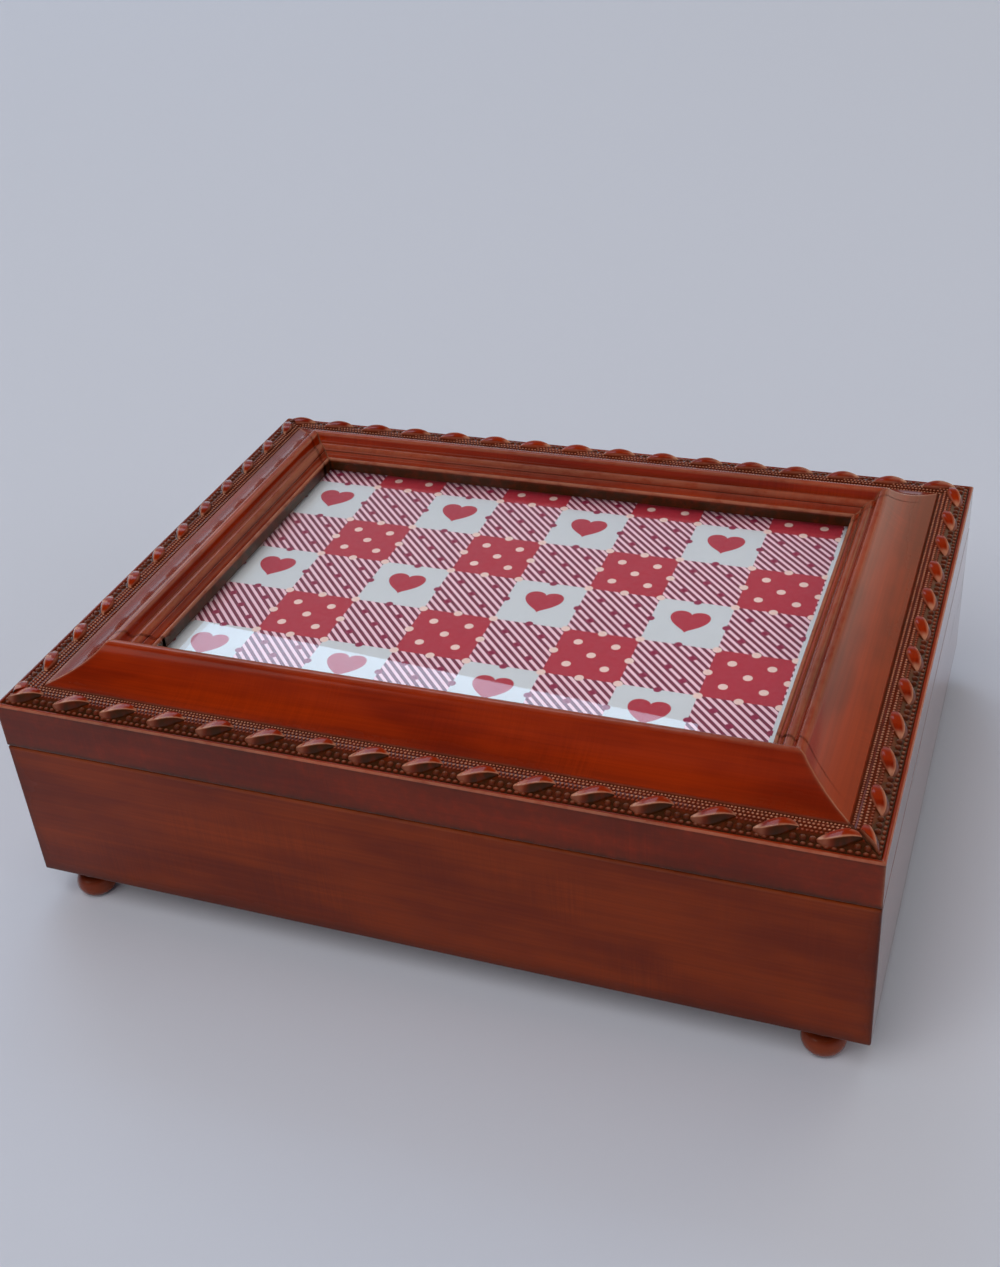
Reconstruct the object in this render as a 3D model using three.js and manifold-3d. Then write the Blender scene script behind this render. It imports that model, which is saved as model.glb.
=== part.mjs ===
// A wooden jewellery box with a picture-frame lid: four mitred boards on turned bun feet, and a lid of four
// mitred mouldings with a carved band of twisted leaves and pearls, holding a glazed picture.
// Millimetres. X runs along the front, Y to the back, Z up. The origin is on the floor under the centre.
import * as THREE from "three";
import { mergeVertices } from "three/addons/utils/BufferGeometryUtils.js";
import Module from "manifold-3d";

const wasm = await Module();
wasm.setup();

// Picture and what lies with it in the lid
const printLength = 152.4;
const printWidth = 101.6;
const printThickness = 0.4;
const glassThickness = 2;
const backingThickness = 2.4;
const rabbetClearance = 0.2; // between the rabbet's walls and the picture, on each side
const layerGap = 0.05; // between glass, print and backing
const seatGap = 0.1; // between the glass and the lip over it

// Lid moulding: heights are above the rim, which is the top of the lid's plain side
const railWidth = 27.5;
const lipWidth = 2.4; // how far the moulding reaches over the picture
const lidSideHeight = 12.1;
const rimBeadRadius = 0.8;
const rimGrooveDepth = 1;
const bandStart = 2;
const bandEnd = 8.6;
const bandOuterHeight = -0.4;
const bandInnerHeight = 0.7;
const bandBulge = 0.7;
const bandSteps = 3;
const coveStart = 9.3;
const coveStartHeight = 1.3;
const coveDepth = 1.1;
const ridgeInset = 20.6;
const ridgeHeight = 7.8;
const ridgeRadius = 1.2;
const sightHeight = 3.1;
const innerBeadRadius = 0.5;
const dropFootInset = 22.6; // foot of the steep drop inside the ridge
const dropFootHeight = 5.3;
const rollEndInset = 25; // inner end of the rounded step below that drop
const rollEndHeight = 4.4;
const rollBulge = 1.3; // how far the rounded step's middle pulls up
const glassTopHeight = -0.5;
const backingRecess = 1; // the backing board lies this far up in the moulding

// Carved band: positions along a rail are counted from the middle of a leaf's upper facet
const leafPitch = 12.45;
const leafTail = 5.5;
const leafTip = 4.1;
const leafTailInset = 3.4;
const leafTipInset = 7;
const leafWidth = 4.1;
const leafHeight = 1.95;
const leafSink = 0.35; // how deep a leaf's foot goes into the ground of the band
const leafStations = 5;
const pearlRadius = 0.85;
const pearlInset = 3.9;
const pearlFirst = 2.65; // first pearl, after the leaf before it
const pearlPitch = 2.28;
const pearlsPerGap = 3;
const pearlSink = 0.2;
const pearlSides = 5;
const pearlRows = 3;
const frontFirstLeaf = 7.6; // first leaf of each rail, from the rail's left end seen from outside
const rightFirstLeaf = 5.3;
const backFirstLeaf = 9.5;
const leftFirstLeaf = 8.9;

// Box
const bodyHeight = 38.6;
const wallThickness = 8;
const edgeRound = 0.6;
const bottomThickness = 4;
const bottomRebate = 4; // how far the bottom panel reaches into the boards
const bottomGap = 0.15;
const lidSeat = 0.1; // between the box and the lid that rests on it

// Joints between mitred ends, measured across the joint
const bodyMitreGap = 0.12;
const lidMitreGap = 0.3;

// Feet
const footHeight = 8.2;
const footRadius = 5;
const footBaseRadius = 3;
const footNeckRadius = 3;
const footNeckHeight = 2.6; // straight neck under the box
const footEndInset = 10.4; // a foot's axis from the box's end
const footFaceInset = 5.4; // and from its front or back face
const footGap = 0.05;
const footSegments = 16;
const footSteps = 6;

// Sizes that follow
const rabbetInset = railWidth - lipWidth;
const boxLength = printLength + 2 * (rabbetClearance + rabbetInset);
const boxWidth = printWidth + 2 * (rabbetClearance + rabbetInset);
const bodyTop = footHeight + bodyHeight;
const lidBottom = bodyTop + lidSeat;
const rim = lidBottom + lidSideHeight;
const lipUnderside = rim + glassTopHeight;
const glassTop = lipUnderside - seatGap;
const printTop = glassTop - glassThickness - layerGap;
const backingTop = printTop - printThickness - layerGap;
const backingBottom = backingTop - backingThickness;
const mouldingUnderside = backingBottom - backingRecess;

const wood = (color, roughness) => new THREE.MeshStandardMaterial({ color, roughness, metalness: 0 });

// A closed geometry as a solid for joining and cutting
function toSolid(geometry) {
  const bare = geometry.index ? geometry.toNonIndexed() : geometry.clone();
  bare.deleteAttribute("normal");
  bare.deleteAttribute("uv");
  const merged = mergeVertices(bare, 1e-4);
  return new wasm.Manifold(
    new wasm.Mesh({
      numProp: 3,
      vertProperties: merged.attributes.position.array,
      triVerts: new Uint32Array(merged.index.array),
    }),
  );
}

function toGeometry(solid) {
  const mesh = solid.getMesh();
  const geometry = new THREE.BufferGeometry();
  geometry.setAttribute("position", new THREE.BufferAttribute(mesh.vertProperties, 3));
  geometry.setIndex(new THREE.BufferAttribute(mesh.triVerts, 1));
  geometry.computeVertexNormals();
  return geometry;
}

// Points of an arc in a section, from one angle to another, in degrees
function arc(inset, height, radius, fromDegrees, toDegrees, steps) {
  const points = [];
  for (let i = 0; i <= steps; i++) {
    const angle = THREE.MathUtils.degToRad(fromDegrees + ((toDegrees - fromDegrees) * i) / steps);
    points.push(new THREE.Vector2(inset + radius * Math.cos(angle), height + radius * Math.sin(angle)));
  }
  return points;
}

// A section of (inset from the outer face, height), drawn out along X and cut square at both ends.
// The section runs anticlockwise with the inset to the right and the height up.
function drawnOut(section, length) {
  const geometry = new THREE.ExtrudeGeometry(new THREE.Shape(section), {
    depth: length,
    bevelEnabled: false,
  });
  const toRail = new THREE.Matrix4().makeBasis(
    new THREE.Vector3(0, 1, 0),
    new THREE.Vector3(0, 0, 1),
    new THREE.Vector3(1, 0, 0),
  );
  return geometry.translate(0, 0, -length / 2).applyMatrix4(toRail);
}

// The room that a mitred strip may fill: a tall wedge between two 45 degree planes
function mitreWedge(length, depth, gap) {
  const overhang = 1;
  const back = (gap / 2) * Math.SQRT2;
  const half = length / 2 - back;
  const plan = new THREE.Shape([
    new THREE.Vector2(-half - overhang, -overhang),
    new THREE.Vector2(half + overhang, -overhang),
    new THREE.Vector2(half - depth, depth),
    new THREE.Vector2(depth - half, depth),
  ]);
  const top = rim + ridgeHeight + leafHeight;
  return new THREE.ExtrudeGeometry(plan, { depth: top, bevelEnabled: false });
}

// Height of the carved band's ground over the rim
function bandGround(inset) {
  const k = (inset - bandStart) / (bandEnd - bandStart);
  return THREE.MathUtils.lerp(bandOuterHeight, bandInnerHeight, k) + bandBulge * 4 * k * (1 - k);
}

// The moulding's section, from the foot of the plain side over the rim, band, cove and ridge to the rabbet
function mouldingSection() {
  const points = [];
  points.push(...arc(edgeRound, lidBottom + edgeRound, edgeRound, 270, 180, 3));
  points.push(...arc(rimBeadRadius, rim - rimBeadRadius, rimBeadRadius, 180, 10, 5));
  points.push(new THREE.Vector2((2 * rimBeadRadius + bandStart) / 2, rim - rimGrooveDepth));
  for (let i = 0; i <= bandSteps; i++) {
    const inset = THREE.MathUtils.lerp(bandStart, bandEnd, i / bandSteps);
    points.push(new THREE.Vector2(inset, rim + bandGround(inset)));
  }
  const ridgeFoot = new THREE.Vector2(ridgeInset - ridgeRadius, rim + ridgeHeight - 0.35 * ridgeRadius);
  const coveFoot = new THREE.Vector2(coveStart, rim + coveStartHeight);
  const middle = coveFoot.clone().add(ridgeFoot).multiplyScalar(0.5);
  const scoop = new THREE.Vector2(middle.x + 1.4 * coveDepth, middle.y - 1.4 * coveDepth);
  points.push(...new THREE.QuadraticBezierCurve(coveFoot, scoop, ridgeFoot).getPoints(6));
  points.push(new THREE.Vector2(ridgeInset - 0.35 * ridgeRadius, rim + ridgeHeight - 0.04 * ridgeRadius));
  points.push(new THREE.Vector2(ridgeInset + 0.4 * ridgeRadius, rim + ridgeHeight - 0.06 * ridgeRadius));
  const innerTop = new THREE.Vector2(ridgeInset + ridgeRadius, rim + ridgeHeight - 0.5 * ridgeRadius);
  const dropFoot = new THREE.Vector2(dropFootInset, rim + dropFootHeight);
  const rollEnd = new THREE.Vector2(rollEndInset, rim + rollEndHeight);
  const rollTop = dropFoot.clone().add(rollEnd).multiplyScalar(0.5);
  rollTop.y += rollBulge;
  points.push(innerTop, ...new THREE.QuadraticBezierCurve(dropFoot, rollTop, rollEnd).getPoints(4));
  const beadCentre = new THREE.Vector2(railWidth - innerBeadRadius, rim + sightHeight - innerBeadRadius);
  points.push(new THREE.Vector2(beadCentre.x - innerBeadRadius, beadCentre.y + 0.6 * innerBeadRadius));
  points.push(...arc(beadCentre.x, beadCentre.y, innerBeadRadius, 90, 0, 3));
  points.push(new THREE.Vector2(railWidth, lipUnderside));
  points.push(new THREE.Vector2(rabbetInset, lipUnderside));
  points.push(new THREE.Vector2(rabbetInset, mouldingUnderside));
  points.push(new THREE.Vector2(wallThickness, mouldingUnderside));
  points.push(new THREE.Vector2(wallThickness, lidBottom));
  return points.reverse();
}

// One twisted leaf: a low outer tail that climbs to a crest, with a steep belly outside and a broad facet inside
function leafGeometry() {
  const rings = [];
  for (let i = 1; i < leafStations; i++) {
    const s = i / leafStations;
    const along = THREE.MathUtils.lerp(-leafTail, leafTip, s);
    const middle = leafMiddle(s);
    const half = (leafWidth / 2) * Math.sin(Math.PI * s) ** 0.8;
    const rise = leafHeight * Math.sin(Math.PI * s) ** 0.7;
    const crest = middle - 0.35 * half;
    const outer = middle - half;
    const inner = middle + half;
    const belly = THREE.MathUtils.lerp(outer, crest, 0.25);
    const facet = THREE.MathUtils.lerp(crest, inner, 0.7);
    rings.push([
      [along, outer, bandGround(outer) - leafSink],
      [along, belly, bandGround(belly) + 0.66 * rise],
      [along, crest, bandGround(crest) + rise],
      [along, facet, bandGround(facet) + 0.72 * rise],
      [along, inner, bandGround(inner) - leafSink],
    ]);
  }
  const tail = [-leafTail, leafTailInset, bandGround(leafTailInset) - leafSink];
  const tip = [leafTip, leafTipInset, bandGround(leafTipInset) - leafSink];
  const vertices = [tail, ...rings.flat(), tip];
  const size = rings[0].length;
  const index = [];
  const at = (ring, point) => 1 + ring * size + (point % size);
  for (let p = 0; p < size; p++) {
    index.push(0, at(0, p), at(0, p + 1));
    for (let r = 0; r < rings.length - 1; r++) {
      index.push(at(r, p), at(r + 1, p), at(r, p + 1));
      index.push(at(r + 1, p), at(r + 1, p + 1), at(r, p + 1));
    }
    index.push(vertices.length - 1, at(rings.length - 1, p + 1), at(rings.length - 1, p));
  }
  const geometry = new THREE.BufferGeometry();
  geometry.setAttribute("position", new THREE.Float32BufferAttribute(vertices.flat(), 3));
  geometry.setIndex(index);
  return geometry;
}

function leafMiddle(s) {
  return THREE.MathUtils.lerp(leafTailInset, leafTipInset, THREE.MathUtils.smoothstep(s, 0, 1));
}

// Leaves and the pearls after each, along a rail that ends at plus and minus half its length
function carving(length, firstLeaf) {
  const leaf = toSolid(leafGeometry());
  const bead = new THREE.SphereGeometry(pearlRadius, pearlSides, pearlRows).rotateX(Math.PI / 2);
  const pearl = toSolid(bead);
  const pieces = [];
  const reach = leafTail + leafPitch;
  for (let along = firstLeaf - leafPitch; along < length + reach; along += leafPitch) {
    const at = along - length / 2;
    pieces.push(leaf.translate([at, 0, rim]));
    for (let n = 0; n < pearlsPerGap; n++) {
      const height = rim + bandGround(pearlInset) - pearlSink;
      pieces.push(pearl.translate([at + pearlFirst + n * pearlPitch, pearlInset, height]));
    }
  }
  return wasm.Manifold.union(pieces);
}

function lidRail(name, length, firstLeaf) {
  const strip = toSolid(drawnOut(mouldingSection(), length));
  const wedge = toSolid(mitreWedge(length, railWidth, lidMitreGap));
  const solid = strip.add(carving(length, firstLeaf)).intersect(wedge);
  const mesh = new THREE.Mesh(toGeometry(solid), wood(0x7a3418, 0.42));
  mesh.name = name;
  return mesh;
}

// A board of the box: round outer edges above and below, and the rebate for the bottom panel inside
function boardSection() {
  const rebateInset = wallThickness - bottomRebate;
  return [
    new THREE.Vector2(rebateInset, footHeight),
    new THREE.Vector2(rebateInset, footHeight + bottomThickness + bottomGap),
    new THREE.Vector2(wallThickness, footHeight + bottomThickness + bottomGap),
    new THREE.Vector2(wallThickness, bodyTop),
    ...arc(edgeRound, bodyTop - edgeRound, edgeRound, 90, 180, 3),
    ...arc(edgeRound, footHeight + edgeRound, edgeRound, 180, 270, 3),
  ];
}

function bodyBoard(name, length) {
  const strip = toSolid(drawnOut(boardSection(), length));
  const wedge = toSolid(mitreWedge(length, wallThickness, bodyMitreGap));
  const mesh = new THREE.Mesh(toGeometry(strip.intersect(wedge)), wood(0x5f2a1e, 0.45));
  mesh.name = name;
  return mesh;
}

// Puts a strip that was made along X with its outer face at Y 0 on one side of the box
function onSide(mesh, quarterTurns, reach) {
  const side = new THREE.Group();
  side.rotation.z = (quarterTurns * Math.PI) / 2;
  mesh.position.y = -reach;
  side.add(mesh);
  return side;
}

function footGeometry() {
  const top = footHeight - footGap;
  const bellyHeight = (top - footNeckHeight) / 2;
  const outline = [new THREE.Vector2(0, 0), new THREE.Vector2(footBaseRadius, 0)];
  for (let i = 1; i < footSteps; i++) {
    const turn = (Math.PI * i) / footSteps;
    const end = i < footSteps / 2 ? footBaseRadius : footNeckRadius;
    const radius = end + (footRadius - end) * Math.sin(turn);
    outline.push(new THREE.Vector2(radius, bellyHeight * (1 - Math.cos(turn))));
  }
  outline.push(new THREE.Vector2(footNeckRadius, top - footNeckHeight));
  outline.push(new THREE.Vector2(footNeckRadius, top));
  outline.push(new THREE.Vector2(0, top));
  return new THREE.LatheGeometry(outline, footSegments).rotateX(Math.PI / 2);
}

function panel(name, length, width, bottom, thickness, material) {
  const mesh = new THREE.Mesh(new THREE.BoxGeometry(length, width, thickness), material);
  mesh.position.z = bottom + thickness / 2;
  mesh.name = name;
  return mesh;
}

const box = new THREE.Group();
const lid = new THREE.Group();

const sides = [
  { side: "front", length: boxLength, reach: boxWidth / 2, firstLeaf: frontFirstLeaf },
  { side: "right", length: boxWidth, reach: boxLength / 2, firstLeaf: rightFirstLeaf },
  { side: "back", length: boxLength, reach: boxWidth / 2, firstLeaf: backFirstLeaf },
  { side: "left", length: boxWidth, reach: boxLength / 2, firstLeaf: leftFirstLeaf },
];
sides.forEach(({ side, length, reach, firstLeaf }, turns) => {
  box.add(onSide(bodyBoard("body_" + side, length), turns, reach));
  lid.add(onSide(lidRail("lid_rail_" + side, length, firstLeaf), turns, reach));
});

const bottomInset = wallThickness - bottomRebate + bottomGap;
const bottomMaterial = wood(0x6b3d26, 0.7);
const bottomLength = boxLength - 2 * bottomInset;
const bottomWidth = boxWidth - 2 * bottomInset;
box.add(panel("body_bottom", bottomLength, bottomWidth, footHeight, bottomThickness, bottomMaterial));

for (const [end, sideX] of [["left", -1], ["right", 1]]) {
  for (const [face, sideY] of [["front", -1], ["back", 1]]) {
    const foot = new THREE.Mesh(footGeometry(), wood(0x8a4020, 0.4));
    foot.name = "foot_" + face + "_" + end;
    foot.position.set(sideX * (boxLength / 2 - footEndInset), sideY * (boxWidth / 2 - footFaceInset), 0);
    box.add(foot);
  }
}

const glass = new THREE.MeshStandardMaterial({
  color: 0xe8f0ee,
  roughness: 0.05,
  metalness: 0,
  transparent: true,
  opacity: 0.25,
});
const paper = new THREE.MeshStandardMaterial({ color: 0xd98a9c, roughness: 0.6, metalness: 0 });
lid.add(panel("glass_pane", printLength, printWidth, glassTop - glassThickness, glassThickness, glass));
lid.add(panel("picture_print", printLength, printWidth, printTop - printThickness, printThickness, paper));
const backing = wood(0x4a2a1c, 0.8);
lid.add(panel("backing_board", printLength, printWidth, backingBottom, backingThickness, backing));

const jewelleryBox = new THREE.Group();
jewelleryBox.add(box, lid);
export default jewelleryBox;
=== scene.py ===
# %% [markdown]
# # A musical jewelry box with a picture-frame lid
# The box is a low case of four mitred boards on turned feet. Its lid is a picture frame: four lengths of
# moulding with a carved band of twisted leaves and pearls, and a printed card under glass. The solids that
# carry all this come from a imported model. Here each one gets its fine surface and its finish. The first
# cell loads that model.

# %% Load the imported model
import math

import bmesh
import bpy
import numpy as np
from mathutils import Matrix, Vector


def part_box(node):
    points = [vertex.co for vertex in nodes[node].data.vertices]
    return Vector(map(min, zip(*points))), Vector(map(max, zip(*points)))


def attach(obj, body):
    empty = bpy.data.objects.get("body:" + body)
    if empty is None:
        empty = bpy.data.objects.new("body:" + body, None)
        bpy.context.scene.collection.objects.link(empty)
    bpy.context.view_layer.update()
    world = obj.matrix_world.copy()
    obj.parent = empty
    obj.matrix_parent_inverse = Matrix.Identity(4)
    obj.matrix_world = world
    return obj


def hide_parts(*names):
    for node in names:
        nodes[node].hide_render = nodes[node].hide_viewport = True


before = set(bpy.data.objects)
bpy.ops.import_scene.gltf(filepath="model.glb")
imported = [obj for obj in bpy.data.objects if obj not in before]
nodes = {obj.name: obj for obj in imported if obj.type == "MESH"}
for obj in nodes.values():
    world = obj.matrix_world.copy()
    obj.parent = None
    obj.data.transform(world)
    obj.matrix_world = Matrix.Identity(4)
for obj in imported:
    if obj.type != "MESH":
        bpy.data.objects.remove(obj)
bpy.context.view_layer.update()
scene = bpy.context.scene
mm = 0.001
print("nodes:", len(nodes))

# %% [markdown]
# ## Sizes
# Blender works in metres, but a frame maker thinks in millimetres, so the shapes below are in millimetres
# and are scaled once, when a mesh is made. Whatever the model already knows is read from it, not typed
# again.

# %% Sizes read from the model


def span(node):
    low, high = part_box(node)
    return np.array(low) / mm, np.array(high) / mm


front_low, front_high = span("lid_rail_front")
box_length = 2 * span("lid_rail_right")[1][0]
box_width = -2 * front_low[1]
lid_bottom = front_low[2]
ridge_top = front_high[2]
rail_width = front_high[1] - front_low[1]
board_low, board_high = span("body_front")
foot_height = board_low[2]
body_top = board_high[2]
wall_thickness = board_high[1] - board_low[1]
glass_low, glass_high = span("glass_pane")
backing_low = span("backing_board")[0]
print("box", round(box_length, 2), "by", round(box_width, 2), "ridge at", round(ridge_top, 2))

# %% [markdown]
# ## Camera
# The picture was taken from the front right, looking down by a little over a third of a right angle. Its
# place and its three axes were worked out from the corners of the lid, the ridge and the squares of the
# print. Its lens is given for a 36 mm sensor that lies along the longer side of the picture.

# %% Camera at the photograph's angle
camera_data = bpy.data.cameras.new("camera")
camera_data.sensor_width = 36
camera_data.lens = 44.22
camera_data.clip_start = 0.01
camera = bpy.data.objects.new("camera", camera_data)
scene.collection.objects.link(camera)
camera_place = Vector((122.288, -303.347, 263.662)) * mm
camera_right = Vector((0.93680934, 0.34224744, -0.07249101))
camera_up = Vector((-0.13405463, 0.5425783, 0.8292395))
camera_back = camera_right.cross(camera_up)
camera_turn = Matrix((camera_right, camera_up, camera_back)).transposed()
camera.matrix_world = Matrix.Translation(camera_place) @ camera_turn.to_4x4()
scene.camera = camera
scene.view_settings.view_transform = "Standard"
print("camera", [round(c, 3) for c in camera_place])

# %% [markdown]
# ## Floor and light
# A box like this is shown on a pale cloth in soft daylight. A plain floor stands for the cloth. Two large
# panels give the light: daylight from in front and skylight from above and behind, which draws the soft
# shadow in front of the box. A weak side fill opens the shadow on the right. All three are kept out of
# mirror images, because the polished wood shows a dark ceiling there and is red for that reason.
#
# Four smaller panels are there for the gloss: a window behind on the left, low enough that only the front
# of the glass mirrors it, a pale wall in front on the left, a warm cloth behind on the right, which gives
# the scooped face of the right rail its tan sheen, and a low glint on the left for the carving. One big
# lamp could not do this, since each slope of the lid mirrors another part of the room. The sky is painted
# by height: pale near the horizon, like the cloth, and dark overhead.

# %% Floor


def srgb(red, green, blue):
    """A colour read off a picture, from 0 to 255, as the linear colour that Blender works with."""
    shares = [c / 255 for c in (red, green, blue)]
    return tuple(c / 12.92 if c <= 0.04045 else ((c + 0.055) / 1.055) ** 2.4 for c in shares) + (1.0,)


floor_side = 8.0
floor_mesh = bpy.data.meshes.new("floor")
corner = floor_side / 2
floor_corners = [(-corner, -corner, 0), (corner, -corner, 0), (corner, corner, 0), (-corner, corner, 0)]
floor_mesh.from_pydata(floor_corners, [], [(0, 1, 2, 3)])
floor = bpy.data.objects.new("floor", floor_mesh)
scene.collection.objects.link(floor)
floor_material = bpy.data.materials.new("pale_floor")
floor_material.use_nodes = True
floor_shader = floor_material.node_tree.nodes["Principled BSDF"]
floor_shader.inputs["Base Color"].default_value = srgb(222, 226, 238)
floor_shader.inputs["Roughness"].default_value = 0.9
floor_shader.inputs["Specular IOR Level"].default_value = 0.2
floor_mesh.materials.append(floor_material)
print("floor", floor_side, "m square")

# %% Soft lights


def soft_panel(name, azimuth, elevation, distance, width, height, power, colour, roll=0, mirrored=True):
    """A panel that faces the box. Azimuth 0 is straight behind the box and grows to the right."""
    data = bpy.data.lights.new(name, "AREA")
    data.shape = "RECTANGLE"
    data.size = width
    data.size_y = height
    data.energy = power
    data.color = colour
    panel = bpy.data.objects.new(name, data)
    turn = math.radians(azimuth)
    lift = math.radians(elevation)
    away = Vector((math.sin(turn) * math.cos(lift), math.cos(turn) * math.cos(lift), math.sin(lift)))
    panel.location = away * distance
    facing = away.to_track_quat("Z", "Y").to_matrix() @ Matrix.Rotation(math.radians(roll), 3, "Z")
    panel.rotation_euler = facing.to_euler()
    panel.visible_camera = False
    panel.visible_glossy = mirrored
    scene.collection.objects.link(panel)


soft_panel("daylight", -165, 58, 2.6, 2.3, 2.3, 28, (1.0, 0.98, 0.96), mirrored=False)
soft_panel("skylight", -14, 69, 6.0, 5.0, 5.0, 74, (0.97, 0.99, 1.0), mirrored=False)
soft_panel("side fill", 98, 30, 2.6, 1.2, 1.0, 5, (0.98, 0.97, 1.0), mirrored=False)
soft_panel("window", -35.6, 41.3, 3.0, 1.7, 0.8, 10.5, (0.58, 0.78, 1.0), roll=-24.1)
soft_panel("wall", -143, 36, 2.2, 0.9, 0.5, 2.0, (1.0, 0.95, 0.85))
soft_panel("cloth", 23, 17, 2.4, 1.4, 2.3, 8.4, (1.0, 0.82, 0.52))
soft_panel("glint", -52, 22, 3.0, 1.2, 0.8, 6, (1.0, 0.9, 0.8))

world = bpy.data.worlds.new("surroundings")
scene.world = world
world.use_nodes = True
sky = world.node_tree
background = sky.nodes["Background"]
place = sky.nodes.new("ShaderNodeTexCoord")
split = sky.nodes.new("ShaderNodeSeparateXYZ")
ramp = sky.nodes.new("ShaderNodeValToRGB")
sky.links.new(place.outputs["Generated"], split.inputs[0])
sky.links.new(split.outputs["Z"], ramp.inputs["Fac"])
sky.links.new(ramp.outputs["Color"], background.inputs["Color"])
ramp.color_ramp.elements[0].position = 0.25
ramp.color_ramp.elements[0].color = (0.33, 0.33, 0.38, 1)
ramp.color_ramp.elements[1].position = 0.55
ramp.color_ramp.elements[1].color = (0.03, 0.03, 0.036, 1)
background.inputs["Strength"].default_value = 1.0

# %% [markdown]
# ## Small tools for materials
# A finish is easier to read as a few named steps than as fifty loose nodes. These helpers add one node
# each, take either a number or another node's output, and return the output that the next step needs.

# %% Node helpers


def feed(tree, socket, value):
    """Links an output to a socket, or sets the socket's own value."""
    if isinstance(value, bpy.types.NodeSocket):
        tree.links.new(value, socket)
    elif value is not None:
        socket.default_value = value


def calc(tree, operation, first, second=None, third=None, clamp=False):
    """One step of arithmetic."""
    node = tree.nodes.new("ShaderNodeMath")
    node.operation = operation
    node.use_clamp = clamp
    for socket, value in zip(node.inputs, (first, second, third)):
        feed(tree, socket, value)
    return node.outputs[0]


def blend(tree, share, low, high):
    """One colour turning into another as the share goes from 0 to 1."""
    node = tree.nodes.new("ShaderNodeMix")
    node.data_type = "RGBA"
    node.clamp_factor = True
    feed(tree, node.inputs[0], share)
    feed(tree, node.inputs[6], low)
    feed(tree, node.inputs[7], high)
    return node.outputs[2]


def stretch(tree, vector, scales):
    """A vector with each axis multiplied by its own scale."""
    node = tree.nodes.new("ShaderNodeVectorMath")
    node.operation = "MULTIPLY"
    feed(tree, node.inputs[0], vector)
    node.inputs[1].default_value = scales
    return node.outputs[0]


def noise(tree, vector, scales, detail=2.0, roughness=0.5):
    """Noise with its own scale along each axis of the vector, in blotches per metre."""
    node = tree.nodes.new("ShaderNodeTexNoise")
    node.inputs["Scale"].default_value = 1.0
    node.inputs["Detail"].default_value = detail
    node.inputs["Roughness"].default_value = roughness
    feed(tree, node.inputs["Vector"], stretch(tree, vector, scales))
    return node.outputs["Fac"]


def window(tree, value, start, end, low=0.0, high=1.0):
    """Runs smoothly from low to high as the value goes from start to end, and stays there beyond."""
    node = tree.nodes.new("ShaderNodeMapRange")
    node.interpolation_type = "SMOOTHSTEP"
    feed(tree, node.inputs[0], value)
    for socket, number in zip(list(node.inputs)[1:5], (start, end, low, high)):
        socket.default_value = number
    return node.outputs[0]


def mark(tree, name, kind="Fac"):
    """A value that the mesh carries at its points."""
    node = tree.nodes.new("ShaderNodeAttribute")
    node.attribute_name = name
    return node.outputs[kind]


SOCKETS = {"vector": "NodeSocketVector", "colour": "NodeSocketColor", "number": "NodeSocketFloat"}


def new_group(name, inputs, outputs):
    """An empty node group with named sockets, and its two end nodes."""
    group = bpy.data.node_groups.new(name, "ShaderNodeTree")
    for label, kind in inputs.items():
        group.interface.new_socket(label, in_out="INPUT", socket_type=SOCKETS[kind])
    for label, kind in outputs.items():
        group.interface.new_socket(label, in_out="OUTPUT", socket_type=SOCKETS[kind])
    return group, group.nodes.new("NodeGroupInput").outputs, group.nodes.new("NodeGroupOutput").inputs


def use_group(tree, group, **values):
    """Places a group, with its inputs given by name: Light_stain sets the socket Light stain."""
    node = tree.nodes.new("ShaderNodeGroup")
    node.node_tree = group
    for name, value in values.items():
        feed(tree, node.inputs[name.replace("_", " ")], value)
    return node.outputs


print("sockets:", sorted(SOCKETS))

# %% [markdown]
# ## Brushed stain
# The wood is a close-grained one under a red-brown spirit stain, wiped on and brushed out. Seen near, the
# stain clouds slowly from light to dark, long faint lines follow the board, and fine short strokes cross
# it. Noise with a different scale along each axis of the board makes all three. The board coordinate is
# carried by the mesh: metres along the piece, metres across its section, and a number that sets the sides
# apart. Three woods use it, so it is a group with named inputs.

# %% Group: brushed stain
stain, given, result = new_group(
    "Brushed stain",
    {
        "Board": "vector",
        "Light stain": "colour",
        "Dark stain": "colour",
        "Clouding": "number",
        "Strokes": "number",
    },
    {"Color": "colour", "Roughness": "number", "Height": "number"},
)
blotches = noise(stain, given["Board"], (22, 60, 1), 3, 0.55)
streaks = noise(stain, given["Board"], (9, 330, 1), 3, 0.6)
clouds = calc(stain, "MULTIPLY_ADD", streaks, 0.2, calc(stain, "MULTIPLY", blotches, 0.8))
cloud_share = calc(stain, "MULTIPLY", window(stain, clouds, 0.38, 0.62), given["Clouding"])
clouded = blend(stain, cloud_share, given["Light stain"], given["Dark stain"])
long_lines = noise(stain, given["Board"], (14, 1300, 1), 2, 0.6)
short_strokes = noise(stain, given["Board"], (2600, 55, 1), 2, 0.6)
stroke_patches = window(stain, noise(stain, given["Board"], (30, 30, 1), 1), 0.4, 0.65)
strokes = calc(stain, "MULTIPLY", calc(stain, "SUBTRACT", short_strokes, 0.5), stroke_patches)
lines = calc(stain, "SUBTRACT", long_lines, 0.5)
marks_of_brush = calc(stain, "MULTIPLY", calc(stain, "ADD", strokes, lines), given["Strokes"])
shade = calc(stain, "MULTIPLY_ADD", marks_of_brush, 1.4, 1.0)
brushed = stain.nodes.new("ShaderNodeHueSaturation")
feed(stain, brushed.inputs["Color"], clouded)
feed(stain, brushed.inputs["Value"], shade)
feed(stain, result["Color"], brushed.outputs["Color"])
feed(stain, result["Roughness"], window(stain, clouds, 0.3, 0.75, 0.2, 0.28))
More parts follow.
